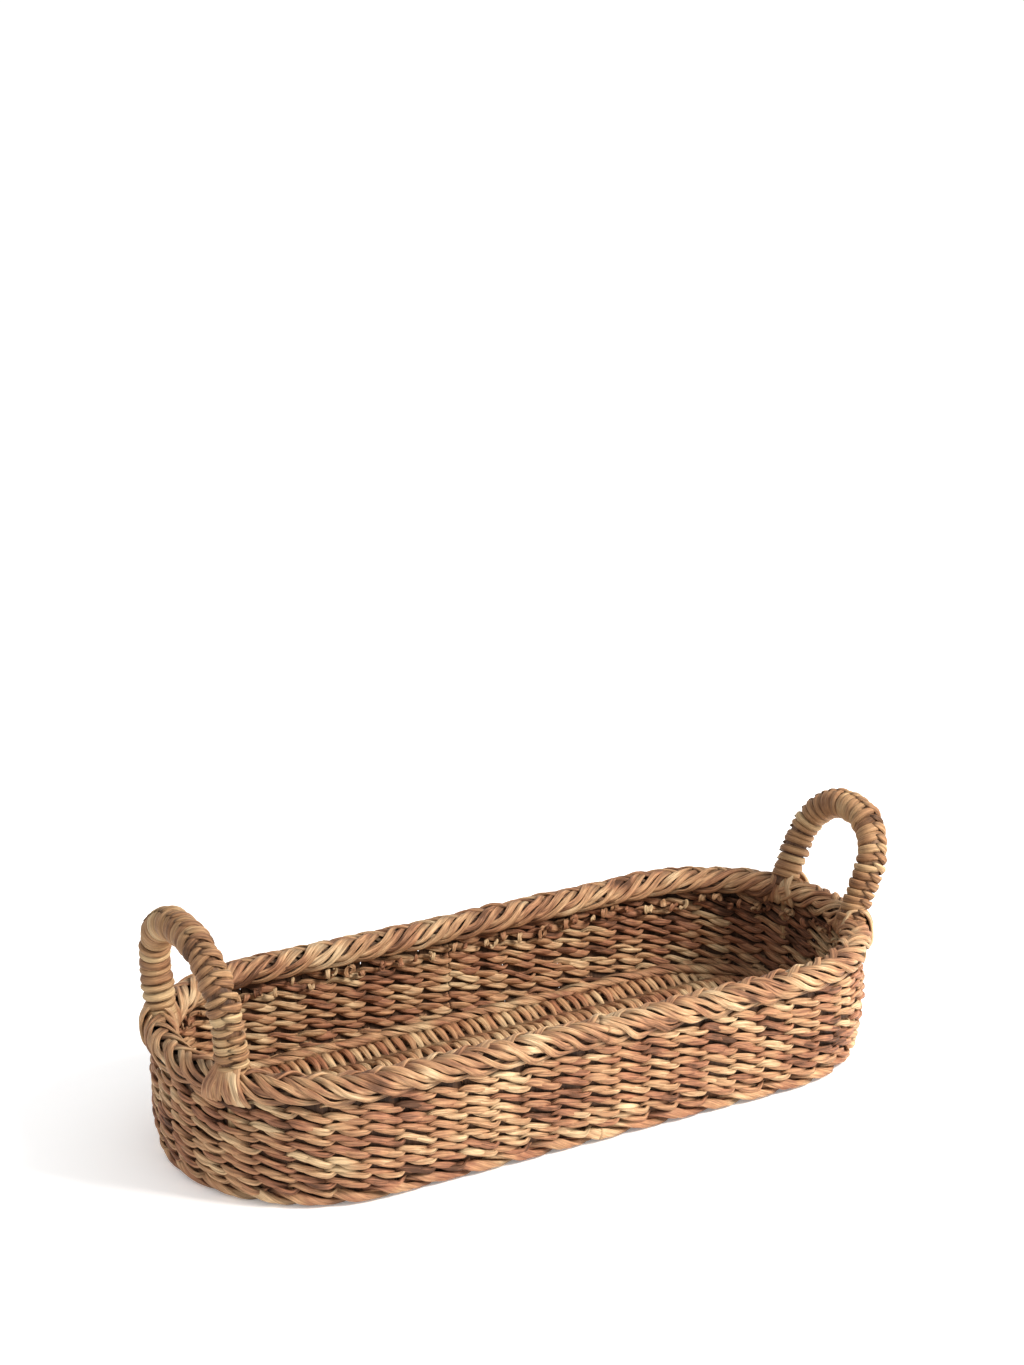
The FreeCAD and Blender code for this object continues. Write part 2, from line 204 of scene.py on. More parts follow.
def tube_faces(skins, first):
    """Corners, face sizes and UVs of closed tubes whose points are numbered from first. Neighbouring rings
    are joined by four-sided faces, and one face closes each end. U is the distance along the middle of the
    tube in metres and V the share of a turn round it."""
    tubes, rings, points, _ = skins.shape
    number = first + np.arange(tubes * rings * points).reshape(tubes, rings, points)
    ahead = np.roll(number, -1, axis=2)
    quads = np.stack([number[:, :-1], ahead[:, :-1], ahead[:, 1:], number[:, 1:]], -1)
    middle = skins.mean(axis=2)
    steps = np.linalg.norm(np.diff(middle, axis=1, prepend=middle[:, :1]), axis=-1)
    far = on_points(np.cumsum(steps, axis=1), number.shape)
    turn = np.broadcast_to(np.arange(points) / points, number.shape)
    after = turn + 1 / points
    u = np.stack([far[:, :-1], far[:, :-1], far[:, 1:], far[:, 1:]], -1)
    v = np.stack([turn[:, :-1], after[:, :-1], after[:, 1:], turn[:, 1:]], -1)
    corners = np.concatenate([quads.ravel(), number[:, 0, ::-1].ravel(), number[:, -1].ravel()])
    sizes = np.concatenate([np.full(quads.size // 4, 4), np.full(2 * tubes, points)])
    all_u = np.concatenate([u.ravel(), far[:, 0, ::-1].ravel(), far[:, -1].ravel()])
    all_v = np.concatenate([v.ravel(), turn[:, 0, ::-1].ravel(), turn[:, -1].ravel()])
    return corners, sizes, np.stack([all_u, all_v], -1)


def make_piece(name, parts, material, replaced):
    """One mesh from many tubes. Each part is ((skins, groove), tone, painted_light): skins has the shape
    (tubes, rings, points, 3), tone gives each ring its colour, and painted_light how far it stands out, less
    in its grooves; this sets the painted shade, so the lower it is, the darker the ring is painted."""
    places, corners, sizes, uvs, tones, painted_lights = [], [], [], [], [], []
    count = 0
    for (skins, groove), tone, painted_light in parts:
        skins = skins.reshape((-1,) + skins.shape[-3:])
        shape = skins.shape[:-1]
        part_corners, part_sizes, part_uvs = tube_faces(skins, count)
        corners.append(part_corners)
        sizes.append(part_sizes)
        uvs.append(part_uvs)
        places.append(skins.reshape(-1, 3))
        tones.append(on_points(tone, shape).ravel())
        # Painted shade: the grooves between leaves are marked lower, so they are painted darker.
        painted_lights.append((on_points(painted_light, shape) * (1 - GROOVE_SHADE * (1 - groove.reshape(shape)))).ravel())
        count += math.prod(shape)
    corners = np.concatenate(corners)
    sizes = np.concatenate(sizes)
    mesh = bpy.data.meshes.new(name)
    mesh.vertices.add(count)
    mesh.vertices.foreach_set("co", np.concatenate(places).astype(np.float32).ravel())
    mesh.loops.add(len(corners))
    mesh.loops.foreach_set("vertex_index", corners.astype(np.int32))
    mesh.polygons.add(len(sizes))
    mesh.polygons.foreach_set("loop_start", (np.cumsum(sizes) - sizes).astype(np.int32))
    mesh.update(calc_edges=True)
    uv_layer = mesh.uv_layers.new(name="fibre")
    uv_layer.data.foreach_set("uv", np.concatenate(uvs).astype(np.float32).ravel())
    for label, values in (("tone", tones), ("painted_light", painted_lights)):
        layer = mesh.attributes.new(label, "FLOAT", "POINT")
        layer.data.foreach_set("value", np.concatenate(values).astype(np.float32))
    mesh.polygons.foreach_set("use_smooth", np.ones(len(sizes), bool))
    mesh.materials.append(material)
    piece = bpy.data.objects.new(name, mesh)
    bpy.context.collection.objects.link(piece)
    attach(piece, "root")
    if replaced:
        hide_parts(*replaced)


def add(tree, kind, inputs=None, **settings):
    """Adds one shader node and returns its outputs. settings are its own properties; inputs are numbers,
    colours or the sockets that feed it."""
    node = tree.nodes.new("ShaderNode" + kind)
    for name, value in settings.items():
        setattr(node, name, value)
    for name, value in (inputs or {}).items():
        if isinstance(value, bpy.types.NodeSocket):
            tree.links.new(value, node.inputs[name])
        else:
            node.inputs[name].default_value = value
    return node.outputs


def mix(tree, factor, first, second, blend="MIX"):
    """Two colours mixed, first + factor * (second - first), or multiplied by the same share."""
    return add(tree, "Mix", {0: factor, 6: first, 7: second}, data_type="RGBA", blend_type=blend)[2]


def arithmetic(tree, operation, first, second):
    """The sum or product of two values."""
    return add(tree, "Math", {0: first, 1: second}, operation=operation)[0]


def ramp(tree, value, low, high, out_low=0.0, out_high=1.0):
    """value carried from low..high to out_low..out_high, and kept inside."""
    limits = {"From Min": low, "From Max": high, "To Min": out_low, "To Max": out_high}
    return add(tree, "MapRange", {"Value": value, **limits})[0]


def noise(tree, place, scale, detail, roughness):
    """Noise at a place, from 0 to 1. scale is one number, or three to stretch it."""
    if not isinstance(scale, float):
        place = add(tree, "Mapping", {"Vector": place, "Scale": scale})[0]
        scale = 1.0
    values = {"Vector": place, "Scale": scale, "Detail": detail, "Roughness": roughness}
    return add(tree, "TexNoise", values)[0]


def make_leaf_group():
    """Dried leaf. Its colour goes from dark through ruddy and tan to straw with the tone, shifted by broad
    stains. Fine fibres run along the leaf and change its depth, colour and roughness. Painted shade: where
    Painted_Light is low the colour is mixed towards near black, as strongly as Painted_Shade says."""
    group = bpy.data.node_groups.new("dried_leaf", "ShaderNodeTree")
    sockets = {"INPUT": {"Vector": ("Fibre", "Place"), "Float": ("Tone", "Painted_Light", "Stain", "Painted_Shade"),
                         "Color": ("Dark", "Ruddy", "Tan", "Straw")},
               "OUTPUT": {"Color": ("Color",), "Float": ("Roughness", "Height")}}
    for way, kinds in sockets.items():
        for kind, names in kinds.items():
            for name in names:
                group.interface.new_socket(name, in_out=way, socket_type="NodeSocket" + kind)
    given = group.nodes.new("NodeGroupInput").outputs
    result = group.nodes.new("NodeGroupOutput").inputs
    fibres = noise(group, given["Fibre"], (55, 13, 1), 5.0, 0.62)
    threads = noise(group, given["Fibre"], (90, 46, 1), 3.0, 0.6)
    stains = noise(group, given["Place"], 38.0, 3.0, 0.55)
    stained = arithmetic(group, "MULTIPLY", ramp(group, stains, 0.3, 0.7, -1.0, 1.0), given["Stain"])
    tone = arithmetic(group, "ADD", given["Tone"], stained)
    tone = arithmetic(group, "ADD", tone, ramp(group, fibres, 0.35, 0.65, -0.14, 0.14))
    colour = given["Dark"]
    for low, high, lighter in ((0.0, 0.3, "Ruddy"), (0.3, 0.62, "Tan"), (0.66, 1.0, "Straw")):
        colour = mix(group, ramp(group, tone, low, high), colour, given[lighter])
    for depth in (ramp(group, fibres, 0.3, 0.62, 0.62, 1.08), ramp(group, threads, 0.36, 0.5, 0.72, 1.0)):
        grey = add(group, "CombineColor", {0: depth, 1: depth, 2: depth})[0]
        colour = mix(group, 1.0, colour, grey, "MULTIPLY")
    # Painted shade: rings marked as lying back, under or in a groove are mixed towards near black.
    low = arithmetic(group, "MULTIPLY", ramp(group, given["Painted_Light"], 0.0, 0.75, 1.0, 0.0), given["Painted_Shade"])
    colour = mix(group, low, colour, (0.030, 0.012, 0.006, 1.0))
    group.links.new(colour, result["Color"])
    group.links.new(ramp(group, fibres, 0.3, 0.7, 0.66, 0.46), result["Roughness"])
    group.links.new(arithmetic(group, "ADD", fibres, threads), result["Height"])
    return group


LEAF_GROUP = make_leaf_group()
FIBRE_RELIEF = 0.55 * MM


def leaf_material(name, dark, ruddy, tan, straw, stain, painted_shade):
    """Dried leaf in four colours, with a bump of FIBRE_RELIEF along its fibres, and painted shade of strength
    painted_shade on rings that the mesh marks as lying back or under.
    """
    material = bpy.data.materials.new(name)
    material.use_nodes = True
    tree = material.node_tree
    shader = tree.nodes["Principled BSDF"]
    leaf = tree.nodes.new("ShaderNodeGroup")
    leaf.node_tree = LEAF_GROUP
    for label, colour in (("Dark", dark), ("Ruddy", ruddy), ("Tan", tan), ("Straw", straw)):
        leaf.inputs[label].default_value = (*colour, 1.0)
    leaf.inputs["Stain"].default_value = stain
    leaf.inputs["Painted_Shade"].default_value = painted_shade
    tree.links.new(add(tree, "UVMap", uv_map="fibre")[0], leaf.inputs["Fibre"])
    tree.links.new(add(tree, "TexCoord")["Object"], leaf.inputs["Place"])
    for label in ("tone", "painted_light"):
        tree.links.new(add(tree, "Attribute", attribute_name=label)["Fac"], leaf.inputs[label.title()])
    tree.links.new(leaf.outputs["Color"], shader.inputs["Base Color"])
    tree.links.new(leaf.outputs["Roughness"], shader.inputs["Roughness"])
    relief = {"Strength": 0.8, "Distance": FIBRE_RELIEF, "Height": leaf.outputs["Height"]}
    tree.links.new(add(tree, "Bump", relief)[0], shader.inputs["Normal"])
    shader.inputs["Specular IOR Level"].default_value = 0.4
    return material


WALL_LEAF = leaf_material("seagrass_wall", dark=(0.14, 0.065, 0.032), ruddy=(0.42, 0.20, 0.112),
                          tan=(0.55, 0.325, 0.178), straw=(0.72, 0.53, 0.32), stain=0.3, painted_shade=1.0)


def smooth_noise(s, waves, rng):
    """Random waves round the basket: ten sines added up that close after one round, about 1 at the most,
    none longer than half a round or shorter than 1 / waves of it."""
    number = rng.integers(2, waves + 1, 10)
    start = rng.uniform(0, 2 * math.pi, 10)
    share = rng.uniform(0.5, 1.0, 10)
    waves_at_s = np.sin(2 * math.pi * np.multiply.outer(s / ONCE_ROUND, number) + start) * share
    return waves_at_s.sum(-1) / share.sum() * 1.8


def rope(rng, rho, z, bundles, lay, swing, half_wide, half_flat, rings, leaves,
         tone=0.6, wander=0.0, points=14, painted_lit_side=1):
    """Bundles twisted together, once round the basket. Bundle j of J turns once every lay, turn = 2 pi (s /
    lay + j / J) + 0.35 noise, and its middle is swing * cos(turn) outward and swing * sin(turn) below the
    rope's own middle line at rho, z. It wanders off by noise too, and is up to 14% fatter or thinner."""
    s = np.linspace(0, ONCE_ROUND, rings)

    def noises(waves):
        """Smooth noise of its own for each bundle."""
        return np.stack([smooth_noise(s, waves, rng) for _ in range(bundles)])

    loose = wander * noises(24)
    turn = 2 * math.pi * (s / lay + np.arange(bundles)[:, None] / bundles)
    turn = turn + 0.35 * noises(30)
    at = np.broadcast_to(s, turn.shape)
    path = off_wall(at, rho + swing * np.cos(turn) + loose, z - swing * np.sin(turn) + 0.6 * loose)
    _, outward = around(at)
    normal = np.cos(turn)[..., None] * outward - np.sin(turn)[..., None] * UP
    fat = 1 + 0.14 * noises(40)
    phase = 3 * smooth_noise(s, 24, rng)
    skins = strand(path, normal, half_wide * fat, half_flat * fat, points, leaves, 0.16, phase)
    tones = tone + 0.25 * noises(34)
    # Painted shade: where a bundle turns inward, or outward when the sign is -1, it is painted darker.
    return skins, tones, 0.65 + 0.35 * painted_lit_side * np.cos(turn)


rng = np.random.default_rng(5)
foot_parts = [rope(rng, rho=-3.2 * MM, z=5.7 * MM, bundles=2, lay=ONCE_ROUND / 21, swing=2.6 * MM,
                   half_wide=3.5 * MM, half_flat=2.2 * MM, rings=681, leaves=4, tone=0.56, wander=0.5 * MM,
                   points=16),
              rope(rng, rho=-6.5 * MM, z=6.0 * MM, bundles=1, lay=0.9, swing=0.0, half_wide=4.0 * MM,
                   half_flat=3.6 * MM, rings=221, leaves=3, tone=0.2)]
make_piece("foot_coil_rope", foot_parts, WALL_LEAF, ["foot_coil"])


# ---------------------------------------------------------------- woven wall
# A weaver of two broad leaves, twisted about each other, winds up the wall over one stake and under the
# next. An odd number of stakes makes it change sides on each round, so its stitches lie like bricks. Each
# piece is two rounds.

STAKES = 55
STAKE_STEP = ONCE_ROUND / STAKES
ROUND_RISE = 3.3 * MM
FIRST_ROUND = 10.0 * MM
ROUNDS_PER_PIECE = 2
WALL_PIECES = 8
RINGS_PER_STITCH = 14
STITCHES_PER_TONE = 4
SWING = 3.3 * MM
SWING_SQUARENESS = 1.2
SLANT = 2.4 * MM
LEAF_HALF = 2.25 * MM
CROSSING_HALF = 1.15 * MM
LEAF_APART = 1.5 * MM
LEAF_STAGGER = 0.6
FOOT_CURVE_TOP = 30 * MM
FOOT_TUCK = 7.0 * MM
BELLY = 0.8 * MM
BELLY_TOP = 0.070


def wall_tuck(z):
    """How far the wall leans off its middle line: -FOOT_TUCK * low^2, where low goes from 0 at
    FOOT_CURVE_TOP to 1 at the table, and BELLY * sin(pi * z / BELLY_TOP)."""
    low = np.clip((FOOT_CURVE_TOP - z) / FOOT_CURVE_TOP, 0, 1)
    return -FOOT_TUCK * low ** 2 + BELLY * np.sin(math.pi * np.clip(z / BELLY_TOP, 0, 1))


def stitch_values(rng, count):
    """Random values for every stitch: how fat, how high, how slanted, how far out, the tones of its two
    leaves (the upper one is higher outside), how far apart they are, which is in front, and how its grooves
    are turned. Every STITCHES_PER_TONE stitches share a part of their tone."""
    slow = np.repeat(rng.normal(0, 1, count // STITCHES_PER_TONE + 2), STITCHES_PER_TONE)[:count]
    tone = 0.51 + 0.06 * slow + rng.normal(0, 0.17, count)
    return {"fat": 1 + np.clip(rng.normal(0, 0.15, count), -0.3, 0.38),
            "lift": np.clip(rng.normal(0, 0.5, count), -1.1, 1.1) * MM,
            "slant": np.clip(rng.normal(0.3, 0.5, count), -1.0, 1.5) * MM,
            "out": np.clip(rng.normal(0, 0.4, count), -0.7, 1.2) * MM,
            "upper": np.clip(tone + rng.normal(0, 0.12, count), 0.08, 1.0),
            "lower": np.clip(tone + rng.normal(0, 0.12, count), 0.08, 1.0),
            "apart": rng.uniform(0.6, 1.1, count),
            "front": np.clip(rng.normal(0, 0.7, count), -1.1, 1.1),
            "phase": rng.uniform(0, 6.28, count)}


def weaver(piece_number, values, waves):
    """Two leaves that turn about each other once every two stakes. With q = pi * s / step, leaf k = 1 or -1
    uses its own p = q + LEAF_STAGGER * k: rho = SWING * tanh(1.2 cos p) / tanh 1.2, so it stands over a
    stake where cos p is 1 and under it where cos p is -1, and z = FIRST_ROUND + ROUND_RISE * rounds - SLANT
    * zigzag + k * LEAF_APART * cos p. The zigzag is 0.68 t + 0.32 t^3, where t is arcsin(0.985 sin q) from
    -1 to 1, a triangle wave with round corners. The half width is CROSSING_HALF + (LEAF_HALF -
    CROSSING_HALF) * |cos p|^0.85. Each stitch adds its own random values, most where |cos p| is 1."""
    start = ONCE_ROUND * (0.5 + ROUNDS_PER_PIECE * piece_number)
    stitches = STAKES * ROUNDS_PER_PIECE
    s = np.linspace(start, start + stitches * STAKE_STEP, stitches * RINGS_PER_STITCH + 1)
    q = math.pi * s / STAKE_STEP
    level = FIRST_ROUND + ROUND_RISE * (s / ONCE_ROUND - 0.5) + 0.7 * MM * waves(s)
    t = np.arcsin(0.985 * np.sin(q)) / math.asin(0.985)
    zigzag = 0.68 * t + 0.32 * t ** 3
    _, outward = around(s)
    parts = []
    for k, leaf in ((1, "upper"), (-1, "lower")):
        p = q + LEAF_STAGGER * k
        stitch = np.rint(p / math.pi).astype(int)
        own = {name: value[stitch % len(value)] for name, value in values.items()}
        side = np.abs(np.cos(p))
        z = level - SLANT * zigzag + k * own["apart"] * LEAF_APART * np.cos(p)
        z += side * (own["lift"] - own["slant"] * np.sin(p))
        over = np.tanh(SWING_SQUARENESS * np.cos(p)) / math.tanh(SWING_SQUARENESS)
        rho = (SWING + own["out"] * side) * over + wall_tuck(level) + 0.6 * MM * k * side * own["front"]
        half_wide = CROSSING_HALF + (LEAF_HALF * own["fat"] - CROSSING_HALF) * side ** 0.85
        half_flat = (1.5 - 0.2 * side) * MM
        tipped = outward + 0.35 * k * np.cos(p)[:, None] * UP
        phase = own["phase"] + 0.9 * np.sin(p)
        skins = strand(off_wall(s, rho, z), tipped, half_wide, half_flat, 12, 3, 0.22, phase)
        # Painted shade: each leaf is painted darker where it crosses through the wall between two stakes.
        parts.append((skins, own[leaf], 0.66 + 0.34 * side ** 0.7))
    return parts


rng = np.random.default_rng(11)
drawn_stitches = stitch_values(rng, STAKES * ROUNDS_PER_PIECE * (WALL_PIECES + 1))
rng = np.random.default_rng(12)
WAVE_NUMBER = rng.integers(2, 9, 6)
WAVE_START = rng.uniform(0, 6.28, 6)


def course_waves(s):
    """Slow rise and fall that every round shares: six sines that close after one round."""
    return np.sin(2 * math.pi * np.multiply.outer(s / ONCE_ROUND, WAVE_NUMBER) + WAVE_START).mean(-1)


for number in range(WALL_PIECES):
    course = weaver(number, drawn_stitches, course_waves)
    make_piece("wall_weaver_%d" % (number + 1), course, WALL_LEAF, ["wall_course_%d" % (number + 1)])


# ---------------------------------------------------------------- stakes and their ends
# The stakes are flat bundles of leaf stems that stand inside the weave, one in every stitch. Their tops are
# bent inward below the rim and cut off short, and curl as they dry.

# The stems get a dark colour that is partly painted shade: it stands for the shade in the gaps between
# stitches, under the floor strands and under the rim plait.
STEM_LEAF_PAINTED_SHADE = leaf_material("seagrass_stem_painted_shade", dark=(0.05, 0.022, 0.012), ruddy=(0.10, 0.05, 0.026),
                          tan=(0.20, 0.11, 0.06), straw=(0.3, 0.2, 0.11), stain=0.2, painted_shade=0.6)
STAKE_FOOT = 7.0 * MM
STAKE_TOP = 67.0 * MM
CURLS_PER_STAKE = 2
CURL_RHO = -7.2 * MM


def stakes(numbers):
    """Upright flat bundles on the wall's middle line at s = number * step, from the foot to the rim. The
    half width is 10.15 - 0.65 |sin(2.7 number + 190 z)|^3 mm, which leaves a few small gaps between them."""
    z = np.linspace(STAKE_FOOT, STAKE_TOP, 9)
    s = np.broadcast_to((numbers * STAKE_STEP)[:, None], (len(numbers), len(z)))
    path = off_wall(s, wall_tuck(z) + 0 * s, z + 0 * s)
    _, outward = around(s)
    wide = (10.15 - 0.65 * np.abs(np.sin(numbers[:, None] * 2.7 + z * 190)) ** 3) * MM
    # Painted shade: the stakes are marked as lying under the weave, so they are painted darker still.
    return strand(path, outward, wide, 0.6 * MM, 12, 6, 0.0), 0.4, 0.5


stake_numbers = np.arange(STAKES)
stake_sides = {"stakes_front": (stake_numbers < 7) | (stake_numbers > 47),
               "stakes_right_end": (stake_numbers >= 7) & (stake_numbers < 21),
               "stakes_back": (stake_numbers >= 21) & (stake_numbers < 34),
               "stakes_left_end": (stake_numbers >= 34) & (stake_numbers <= 47)}
for label, chosen in stake_sides.items():
    make_piece(label + "_bundles", [stakes(stake_numbers[chosen])], STEM_LEAF_PAINTED_SHADE, [label])


def stake_curls(rng):
    """Cut leaf ends that curl in a spiral. At angle a a curl is at its middle + r * (cos a across, sin a
    up), where r shrinks from 1.15 to 0.55 of the curl's radius. Across is turned by a random angle from
    inward, where it is 0.8 as long, towards along the wall, and the end drifts sideways by up to 4 mm."""
    count = STAKES * CURLS_PER_STAKE
    share = np.linspace(0, 1, 12)

    def each(low, high):
        """A random number from low to high for each curl."""
        return rng.uniform(low, high, count)[:, None]

    s = (np.arange(count) / CURLS_PER_STAKE * STAKE_STEP)[:, None] + each(-4.5, 4.5) * MM
    a = (2 * share - 1) * each(1.4, 3.6) + each(0, 6.28)
    radius = each(1.6, 3.4) * MM * (1.15 - 0.6 * share)
    turned = each(0.1, 1.4)
    drift = each(-4.0, 4.0) * MM * (share - 0.5)
    middle = each(55.0, 61.0) * MM
    at = s + drift + radius * np.cos(a) * np.sin(turned)
    rho = CURL_RHO + each(-1.1, 0.9) * MM - 0.8 * radius * np.cos(a) * np.cos(turned)
    path = off_wall(at, rho, middle + radius * np.sin(a))
    _, outward = around(at)
    normal = np.cross(unit(np.gradient(path, axis=-2)), np.cross(outward, UP) + 0.4 * outward)
    taper = tapered(12, 0.25)
    half = each(1.1, 2.6) * MM * taper
    return strand(path, normal, half, 0.8 * MM * taper, 10, 3, 0.2), each(0.2, 0.95), 0.85


rng = np.random.default_rng(21)
make_piece("stake_curls", [stake_curls(rng)], WALL_LEAF, ["stake_tips"])


# ---------------------------------------------------------------- floor
# The floor is woven like the wall: thin strands cross six thick bundles that run the length of the basket,
# over one and under the next, packed so close that little more than the strands' loops shows.

BUNDLES = 6
BUNDLE_STEP = 24.47 * MM
BUNDLE_HALF = 12.6 * MM
BUNDLE_FLAT = 2.6 * MM
FLOOR_MIDDLE = 5.9 * MM
FLOOR_RADIUS = 75.5 * MM
CROSS_STEP = 2.95 * MM
LOOP_RISE = 5.8 * MM
LOOP_DROP = 3.4 * MM


def floor_bundle(number):
    """A thick flat bundle along X at its own Y, as long as the floor is there: half length = half the
    straight side + the half width of a circle of the floor's radius at that Y - 2 mm."""
    y = (number - (BUNDLES - 1) / 2) * BUNDLE_STEP
    reach = STRAIGHT / 2 + math.sqrt(FLOOR_RADIUS ** 2 - y ** 2) - 2 * MM
    x = np.linspace(-reach, reach, 61)
    path = np.stack([x, np.full_like(x, y), np.full_like(x, FLOOR_MIDDLE)], -1)[None]
    # Painted shade: the bundles lie under the strands, so they get the dark stem colour and are painted
    # darker.
    return strand(path, UP, BUNDLE_HALF, BUNDLE_FLAT, 24, 8, 0.1, 0.8 * np.sin(x * 60) + number), 0.8, 0.6


for number in range(BUNDLES):
    label = "floor_bundle_%d" % (number + 1)
    make_piece(label + "_leaves", [floor_bundle(number)], STEM_LEAF_PAINTED_SHADE, [label])


def floor_strands(rng):
    """Strands along Y. With q = pi * (y / BUNDLE_STEP + a half) and h = sin(q) * (1 or -1 in turn), their
    height over the middle is LOOP_RISE * h^0.8 where h is positive and LOOP_DROP * h where it is negative.
    The half width is 1.4 + 1.4 |sin q|^0.8 mm, so each loop is widest over its bundle. Each loop has its
    own fatness and tone, and leans sideways by about 1.4 mm, which makes it an eighth higher or lower."""
    reach = STRAIGHT / 2 + FLOOR_RADIUS - 3 * MM
    x = np.arange(-reach, reach, CROSS_STEP)
    past = np.clip(np.abs(x) - STRAIGHT / 2, 0, None)
    y = np.sqrt(FLOOR_RADIUS ** 2 - past ** 2)[:, None] * np.linspace(-1, 1, 49)
    q = math.pi * (y / BUNDLE_STEP + 0.5)
    turn = (-1.0) ** np.arange(len(x))[:, None]
    loop = np.arange(len(x))[:, None], (np.floor(y / BUNDLE_STEP) + 20).astype(int)
    fat = (1 + np.clip(rng.normal(0, 0.16, (len(x), 48)), -0.35, 0.4))[loop]
    tone = np.clip(rng.normal(0.62, 0.17, (len(x), 48)), 0.15, 1.0)[loop]
    lean = (rng.normal(0, 1.4, (len(x), 48)) * MM)[loop]
    side = np.abs(np.sin(q))
    h = np.sin(q) * turn
    height = np.where(h > 0, LOOP_RISE * (1 + 90 * lean) * side ** 0.8, LOOP_DROP * h)
    shifted = x[:, None] + 0.5 * lean * np.sin(2 * q) + 1.0 * MM * np.cos(q) * turn
    path = np.stack([shifted, y, FLOOR_MIDDLE + height], -1)
    half_wide = (1.4 + 1.4 * side ** 0.8 * fat) * MM
    skins = strand(path, UP, half_wide, (1.2 + 0.35 * side) * MM, 10, 3, 0.16, 9 * tone)
    # Painted shade: each strand is painted darker where it dips down, away from the tops of its loops.
    return skins, tone, 0.5 + 0.5 * side ** 0.8


rng = np.random.default_rng(31)
make_piece("floor_strands", [floor_strands(rng)], WALL_LEAF, ["floor_cross_strands"])


# ---------------------------------------------------------------- corner courses
# Where the floor turns up into the wall, the ends of the floor strands are caught down by loose twined
# rounds of thin leaves, which lie in waves round the inside of the corner.

rng = np.random.default_rng(41)
for label, rho, z, twists in (("corner_course_low", -11.2 * MM, 6.6 * MM, 23),
                              ("corner_course_high", -8.8 * MM, 12.6 * MM, 27)):
    twine = rope(rng, rho=rho, z=z, bundles=4, lay=ONCE_ROUND / twists, swing=2.2 * MM, half_wide=2.2 * MM,
                 half_flat=1.2 * MM, rings=641, leaves=3, wander=1.4 * MM, points=12, painted_lit_side=-1)
    make_piece(label + "_twine", [twine], WALL_LEAF, [label])


# ---------------------------------------------------------------- rim plait
# The rim is bound with a flat plait of seven strands, each of two broad split leaves, folded over the top
# of the wall so that its strokes run down both sides. Under it the bent stakes make a round core.

RIM_LEAF = leaf_material("seagrass_rim", dark=(0.18, 0.085, 0.042), ruddy=(0.44, 0.23, 0.125),
                         tan=(0.56, 0.345, 0.19), straw=(0.74, 0.55, 0.34), stain=0.34, painted_shade=1.0)
PLAIT_STRANDS = 7
PLAITS_ROUND = 9
PLAIT_LENGTH = ONCE_ROUND / PLAITS_ROUND
PLAIT_HALF = 12.5 * MM
PLAIT_OVER = 1.7 * MM
PLAIT_LEAVES = 2
PLAIT_LEAF_STEP = 3.8
RIM_RADIUS = 7.0 * MM
RIM_RHO = -1.3 * MM
RIM_HEIGHT = 69.6 * MM
RIM_TALL = 1.08
RIM_ROUNDS = ("rim_plait_outer", "rim_plait_inner", "rim_plait_top")


def rim_sag(s):
    """The rim is 0.8 mm lower in the middle of each long side, 0.8 mm higher at the ends, and has slow
    waves."""
    return -0.8 * MM * np.cos(4 * math.pi * s / ONCE_ROUND) + 0.8 * MM * course_waves(s + 0.07)


def plait_strand(number, rng):
    """One strand of the plait. Unrolled, its middle is across = PLAIT_HALF * sin t and over = PLAIT_OVER *
    sin 2t with t = 2 pi (s / length + number / strands). Its leaves lie side by side, square to the strand,
    each a little tipped by noise, and the plait is rolled round the rim's core: angle = across / radius,
    place = core + (radius + over) * (sin, RIM_TALL * cos) of the angle."""
    s = np.linspace(0, ONCE_ROUND, PLAITS_ROUND * 54 + 1)
    t = 2 * math.pi * (s / PLAIT_LENGTH + number / PLAIT_STRANDS)
    across = PLAIT_HALF * np.sin(t)
    slope = PLAIT_HALF * np.cos(t) * 2 * math.pi / PLAIT_LENGTH
    lean = 1 / np.sqrt(1 + slope ** 2)
    parts = []
    for leaf in range(PLAIT_LEAVES):
        wander = smooth_noise(s, 60, rng)
        off = ((leaf - (PLAIT_LEAVES - 1) / 2) * PLAIT_LEAF_STEP + wander) * MM
        lift = (0.6 * smooth_noise(s, 60, rng) + 0.35 * (leaf % 2)) * MM
        at = s - off * slope * lean
        angle = (across + off * lean) / RIM_RADIUS
        reach = RIM_RADIUS + PLAIT_OVER * np.sin(2 * t) + lift
        height = RIM_HEIGHT + rim_sag(at) + reach * np.cos(angle) * RIM_TALL
        path = off_wall(at, RIM_RHO + reach * np.sin(angle), height)
        _, outward = around(at)
        sine, cosine = np.sin(angle)[:, None], np.cos(angle)[:, None]
        sideways = cosine * outward - sine * UP
        normal = sine * outward + cosine * UP + 0.55 * smooth_noise(s, 70, rng)[:, None] * sideways
        fat = 1 + 0.25 * smooth_noise(s, 60, rng)
        skins = strand(path[None], normal[None], 2.25 * MM * fat, 1.2 * MM * fat, 12, 3, 0.2, 2 * wander)
        tone = 0.55 + 0.34 * smooth_noise(s, 60, rng) + rng.normal(0, 0.1)
        # Painted shade: each strand is painted darker where it passes under its neighbours.
        parts.append((skins, tone, 0.55 + 0.45 * np.sin(2 * t)))
    return parts


rng = np.random.default_rng(51)
for number in range(PLAIT_STRANDS):
    label = RIM_ROUNDS[number % len(RIM_ROUNDS)]
    make_piece("rim_strand_%d" % (number + 1), plait_strand(number, rng), RIM_LEAF, [label])
